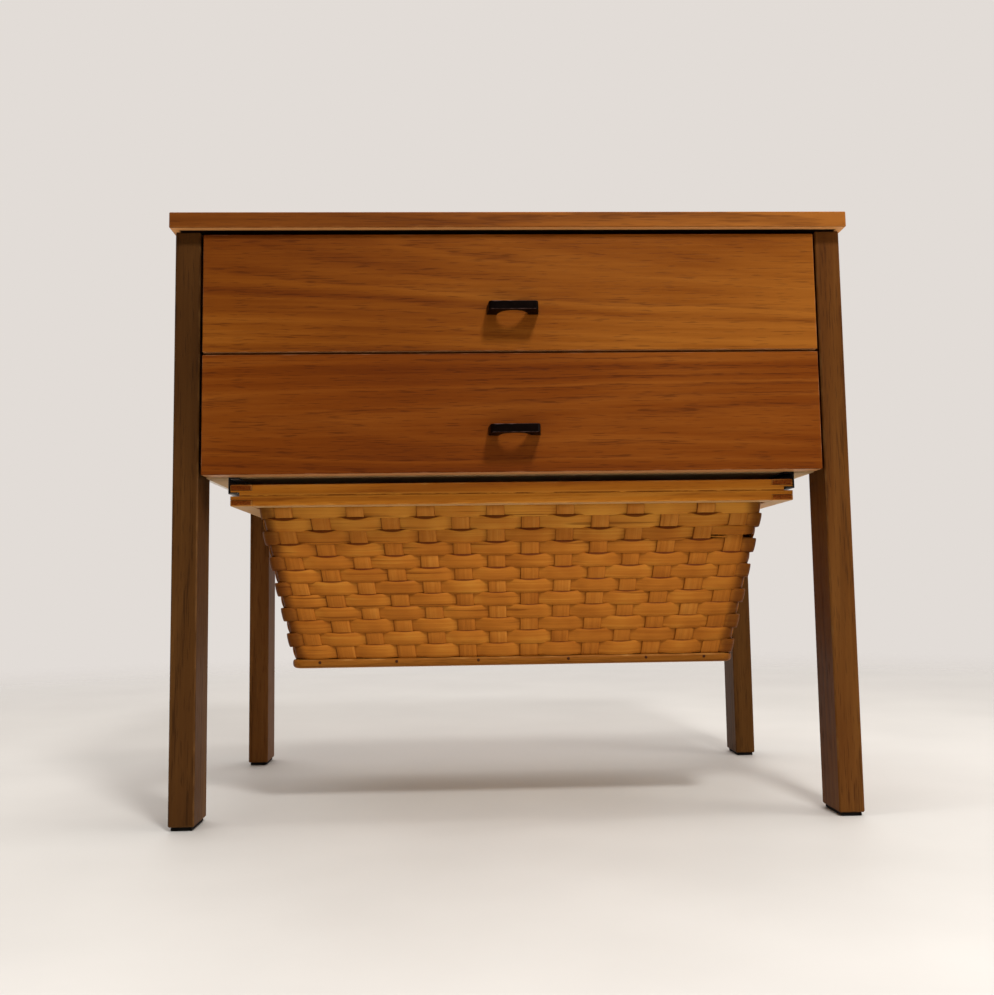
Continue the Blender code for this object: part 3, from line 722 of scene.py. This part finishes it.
def unit(vectors):
    return vectors / np.linalg.norm(vectors, axis=1)[:, None]


class BasketWall:
    """The middle of the woven wall, which tapers to the base and swells a little below the frame."""

    def __init__(self):
        low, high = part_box("basket_body")
        self.middle_y = (low.y + high.y) / 2
        self.foot_z = low.z
        self.height = high.z - low.z
        self.halves = (high.x, high.y - self.middle_y)
        self.taper = high.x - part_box("basket_base")[1].x

    def hoop(self, raise_by):
        share = raise_by / self.height
        inset = self.taper * (1 - share) + WALL_MIDDLE - np.interp(share, BELLY_SHARES, BELLY)
        half_x, half_y = (half - inset for half in self.halves)
        return hoop_line(half_x, half_y, self.middle_y, self.foot_z + raise_by)

    def guide(self, raise_by):
        """A hoop's points, with the ways along it, up the wall and out of it."""
        line = self.hoop(raise_by)
        along = unit(np.roll(line, -1, axis=0) - np.roll(line, 1, axis=0))
        up = unit(self.hoop(raise_by + SLOPE_STEP) - self.hoop(raise_by - SLOPE_STEP))
        return line, along, up, unit(np.cross(along, up))


TURN = np.arange(STAKE_COUNT * HOOP_STEPS) / HOOP_STEPS      # places round a hoop, in stake spacings
LAST_RIGHT = STAKES_FRONT + STAKES_SIDE - 1                  # the last stake of the right side
FIRST_LEFT = LAST_RIGHT + STAKES_FRONT + 1                   # the first of the left side

# Each corner's place round a hoop, and the stake of a side that is next to it
CORNERS = ((STAKES_FRONT - 0.5, STAKES_FRONT), (LAST_RIGHT + 0.5, LAST_RIGHT),
           (FIRST_LEFT - 0.5, FIRST_LEFT), (STAKE_COUNT - 0.5, STAKE_COUNT - 1))


def within(span):
    """Which places round a hoop lie in a span of it."""
    return (TURN > span[0]) & (TURN < span[1])


def near(place):
    """1 at a place round a hoop, and less the farther from it."""
    return np.exp(-((TURN - place) / CORNER_REACH) ** 2)


def corner_swing(row):
    """How far a row stands out at each corner: out if it next goes over the side's stake, else in."""
    return sum(near(place) * (-1) ** (stake + row) for place, stake in CORNERS)


def uneven(rng, amount):
    """Smooth chance values round a hoop, one for each stake."""
    values = rng.uniform(-amount, amount, STAKE_COUNT)
    before = TURN.astype(int)
    share = (1 - np.cos(pi * (TURN - before))) / 2
    return values[before] * (1 - share) + values[(before + 1) % STAKE_COUNT] * share


def flattened(swing):
    """A wave from -1 to 1 that lies flat over and under the stakes."""
    return np.tanh(WEAVER_FLATNESS * swing) / np.tanh(WEAVER_FLATNESS)


def weave(wall, rng):
    splints = Splints()
    corner_shade = sum(near(place) for place, _ in CORNERS)
    for row in range(ROW_COUNT):
        swing = np.cos(pi * (TURN + row))
        wave = flattened(swing)
        line, _, up, out = wall.guide(FIRST_ROW + row * ROW_PITCH)
        lift = WEAVER_SWING * wave * (1 + uneven(rng, SWING_CHANCE))
        if row < ROW_COUNT - 1:
            lift = lift + CORNER_SWING * corner_swing(row)
        shift = uneven(rng, SHIFT_CHANCE)
        width = WEAVER_WIDTH * (1 + uneven(rng, WIDTH_CHANCE) - WEAVER_WAIST * (1 - wave ** 2))
        middle = line + out * lift[:, None]
        if row == TORN_ROW:
            torn = within(TORN_SPAN) * WEAVER_WIDTH * TORN_SHARE
            shift = shift + torn / 2
            width = width - torn
        splints.add(middle + up * shift[:, None], up, out, width, WEAVER_THICKNESS, closed=True,
                    swing=swing, corner_shade=corner_shade, camber=WEAVER_CAMBER)
        if row == TORN_ROW:
            hang_splinter(splints, middle, up, out)
    finish = splint_finish("weaver_fibre", WEAVER_WIDTH, WEAVER_SHADES, WEAVER_CRACKS)
    return splints.build("basket_weavers", finish)


def hang_splinter(splints, middle, up, out):
    """A thin splinter under the torn row."""
    left = within(SPLINTER_SPAN)
    centre = middle + up * (TORN_SHARE * SPLINTER_RAISE - 0.5) * WEAVER_WIDTH
    width = WEAVER_WIDTH * SPLINTER_SHARE * np.linspace(*SPLINTER_TAPER, left.sum())
    splints.add(centre[left], up[left], out[left], width, SPLINTER_THICKNESS, closed=False)


def set_stakes(wall, rng):
    splints = Splints()
    count = round(wall.height / ROW_PITCH * STAKE_STEPS)
    raised = np.linspace(0.0, wall.height, count + 1)
    rows = (raised - FIRST_ROW) / ROW_PITCH
    guides = np.array([wall.guide(raise_by) for raise_by in raised])
    for stake in range(STAKE_COUNT):
        line, along, _, out = guides[:, :, stake * HOOP_STEPS].transpose(1, 0, 2)
        sway = -STAKE_SWING * np.cos(pi * (stake + rows))
        shift = rng.uniform(-STAKE_SHIFT_CHANCE, STAKE_SHIFT_CHANCE)
        width = STAKE_WIDTH * (1 + rng.uniform(-STAKE_WIDTH_CHANCE, STAKE_WIDTH_CHANCE))
        centre = line + out * sway[:, None] + along * shift
        splints.add(centre, -along, out, width, STAKE_THICKNESS, closed=False)
    splints.build("basket_stakes", splint_finish("stake_fibre", STAKE_WIDTH, STAKE_SHADES, STAKE_CRACKS))


def bind_rim(wall, rng):
    """Two bands that hold the tops of the stakes, one inside them and one outside."""
    splints = Splints()
    clear = (STAKE_THICKNESS + RIM_THICKNESS) / 2 + RIM_CLEARANCE
    line, _, up, out = wall.guide(wall.height - RIM_DROP)
    for way in (-1, 1):
        width = RIM_WIDTH * (1 + uneven(rng, WIDTH_CHANCE))
        splints.add(line + way * clear * out, up, out, width, RIM_THICKNESS, closed=True)
    splints.build("basket_rim", splint_finish("rim_fibre", RIM_WIDTH, WEAVER_SHADES, RIM_CRACKS))


def nail_places():
    """Where each nail's head lies on the base's edge, with the way that it faces."""
    low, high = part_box("basket_base")
    middle = (low + high) / 2
    z = low.z + NAIL_RAISE
    for x in NAIL_FRONT_X:
        yield Vector((x, low.y, z)), Vector((0, -1, 0))
        yield Vector((-x, high.y, z)), Vector((0, 1, 0))
    for share in NAIL_SIDE_SHARES:
        y = middle.y + share * (high.y - middle.y)
        yield Vector((low.x, y, z)), Vector((-1, 0, 0))
        yield Vector((high.x, y, z)), Vector((1, 0, 0))


def drive_nails():
    """Domed nail heads round the base, each turned from a short profile."""
    bm = bmesh.new()
    for place, facing in nail_places():
        turn = Matrix.Translation(place) @ facing.to_track_quat("Z", "Y").to_matrix().to_4x4()
        points = [bm.verts.new(turn @ Vector((radius * NAIL_HEAD, 0, out * NAIL_DOME)))
                  for radius, out in NAIL_PROFILE]
        edges = [bm.edges.new(pair) for pair in zip(points, points[1:])]
        bmesh.ops.spin(bm, geom=points + edges, cent=place, axis=facing, angle=2 * pi, steps=NAIL_SIDES)
    bmesh.ops.remove_doubles(bm, verts=bm.verts, dist=SAME_POINT)
    bmesh.ops.recalc_face_normals(bm, faces=bm.faces)
    mesh = bpy.data.meshes.new("basket_nails")
    bm.to_mesh(mesh)
    bm.free()
    mesh.shade_smooth()
    mesh.materials.append(nail_iron())
    obj = add_object("basket_nails", mesh)
    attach(obj, "basket")


def make_basket():
    rng = np.random.RandomState(WEAVE_SEED)
    wall = BasketWall()
    weavers = weave(wall, rng)
    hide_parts("basket_body")
    set_stakes(wall, rng)
    bind_rim(wall, rng)
    drive_nails()


def make_stage():
    """A plain pale floor that has no horizon."""
    graph = Graph(bpy.data.materials.new("floor_finish"))
    place = graph.node("TexCoord").outputs["Object"]
    cloud = graph.noise(place, lumps=5.0, detail=4.0)
    base = graph.ramp(cloud, FLOOR_STOPS, FLOOR_SHADES)
    distance = graph.node("VectorMath", place, operation="LENGTH").outputs["Value"]
    graph.feed(graph.shader.inputs["Alpha"], graph.fade(distance, *FLOOR_FADE, 1.0, 0.0))
    material = graph.finish(base, graph.total(0.6, (cloud, 0.2)))
    mesh = bpy.data.meshes.new("floor")
    bm = bmesh.new()
    bmesh.ops.create_grid(bm, x_segments=4, y_segments=4, size=FLOOR_SIZE / 2)
    bm.to_mesh(mesh)
    bm.free()
    mesh.materials.append(material)
    floor = add_object("floor", mesh)


def area_light(name, place, size, watts, shade):
    data = bpy.data.lights.new(name, "AREA")
    data.shape = "ELLIPSE"
    data.size, data.size_y = size
    data.energy = watts
    data.color = colour(shade)[:3]
    light = add_object(name, data)
    light.location = place
    way = Vector(LIGHT_TARGET) - Vector(place)
    light.rotation_euler = way.to_track_quat("-Z", "Y").to_euler()


def make_light():
    world = bpy.data.worlds.new("studio")
    graph = Graph(world)
    _, ahead, up = graph.split(graph.node("TexCoord").outputs["Generated"])
    room = graph.blend(graph.fade(ahead, *ROOM_AHEAD), colour(ROOM_DIM_SHADE), colour(ROOM_SHADE))
    background = graph.nodes["Background"]
    graph.feed(background.inputs["Color"], room)
    graph.feed(background.inputs["Strength"], graph.fade(up, *ROOM_UP, 1.0, OVERHEAD_GAIN))
    bpy.context.scene.world = world
    bpy.context.scene.view_settings.view_transform = "Standard"
    for name, values in LIGHTS.items():
        area_light(name, *values)


def make_camera():
    data = bpy.data.cameras.new("camera")
    data.sensor_fit = "HORIZONTAL"
    data.sensor_width = SENSOR_WIDTH
    data.lens = FOCAL_PIXELS / IMAGE_WIDTH * SENSOR_WIDTH
    camera = add_object("camera", data)
    turn = Matrix.Rotation(CAMERA_YAW, 4, "Z") @ Matrix.Rotation(pi / 2 + CAMERA_PITCH, 4, "X")
    camera.matrix_world = Matrix.Translation(CAMERA_PLACE) @ turn @ Matrix.Rotation(-CAMERA_ROLL, 4, "Z")
    bpy.context.scene.camera = camera


make_camera()
make_light()
make_stage()
dress_cabinet()
make_basket()
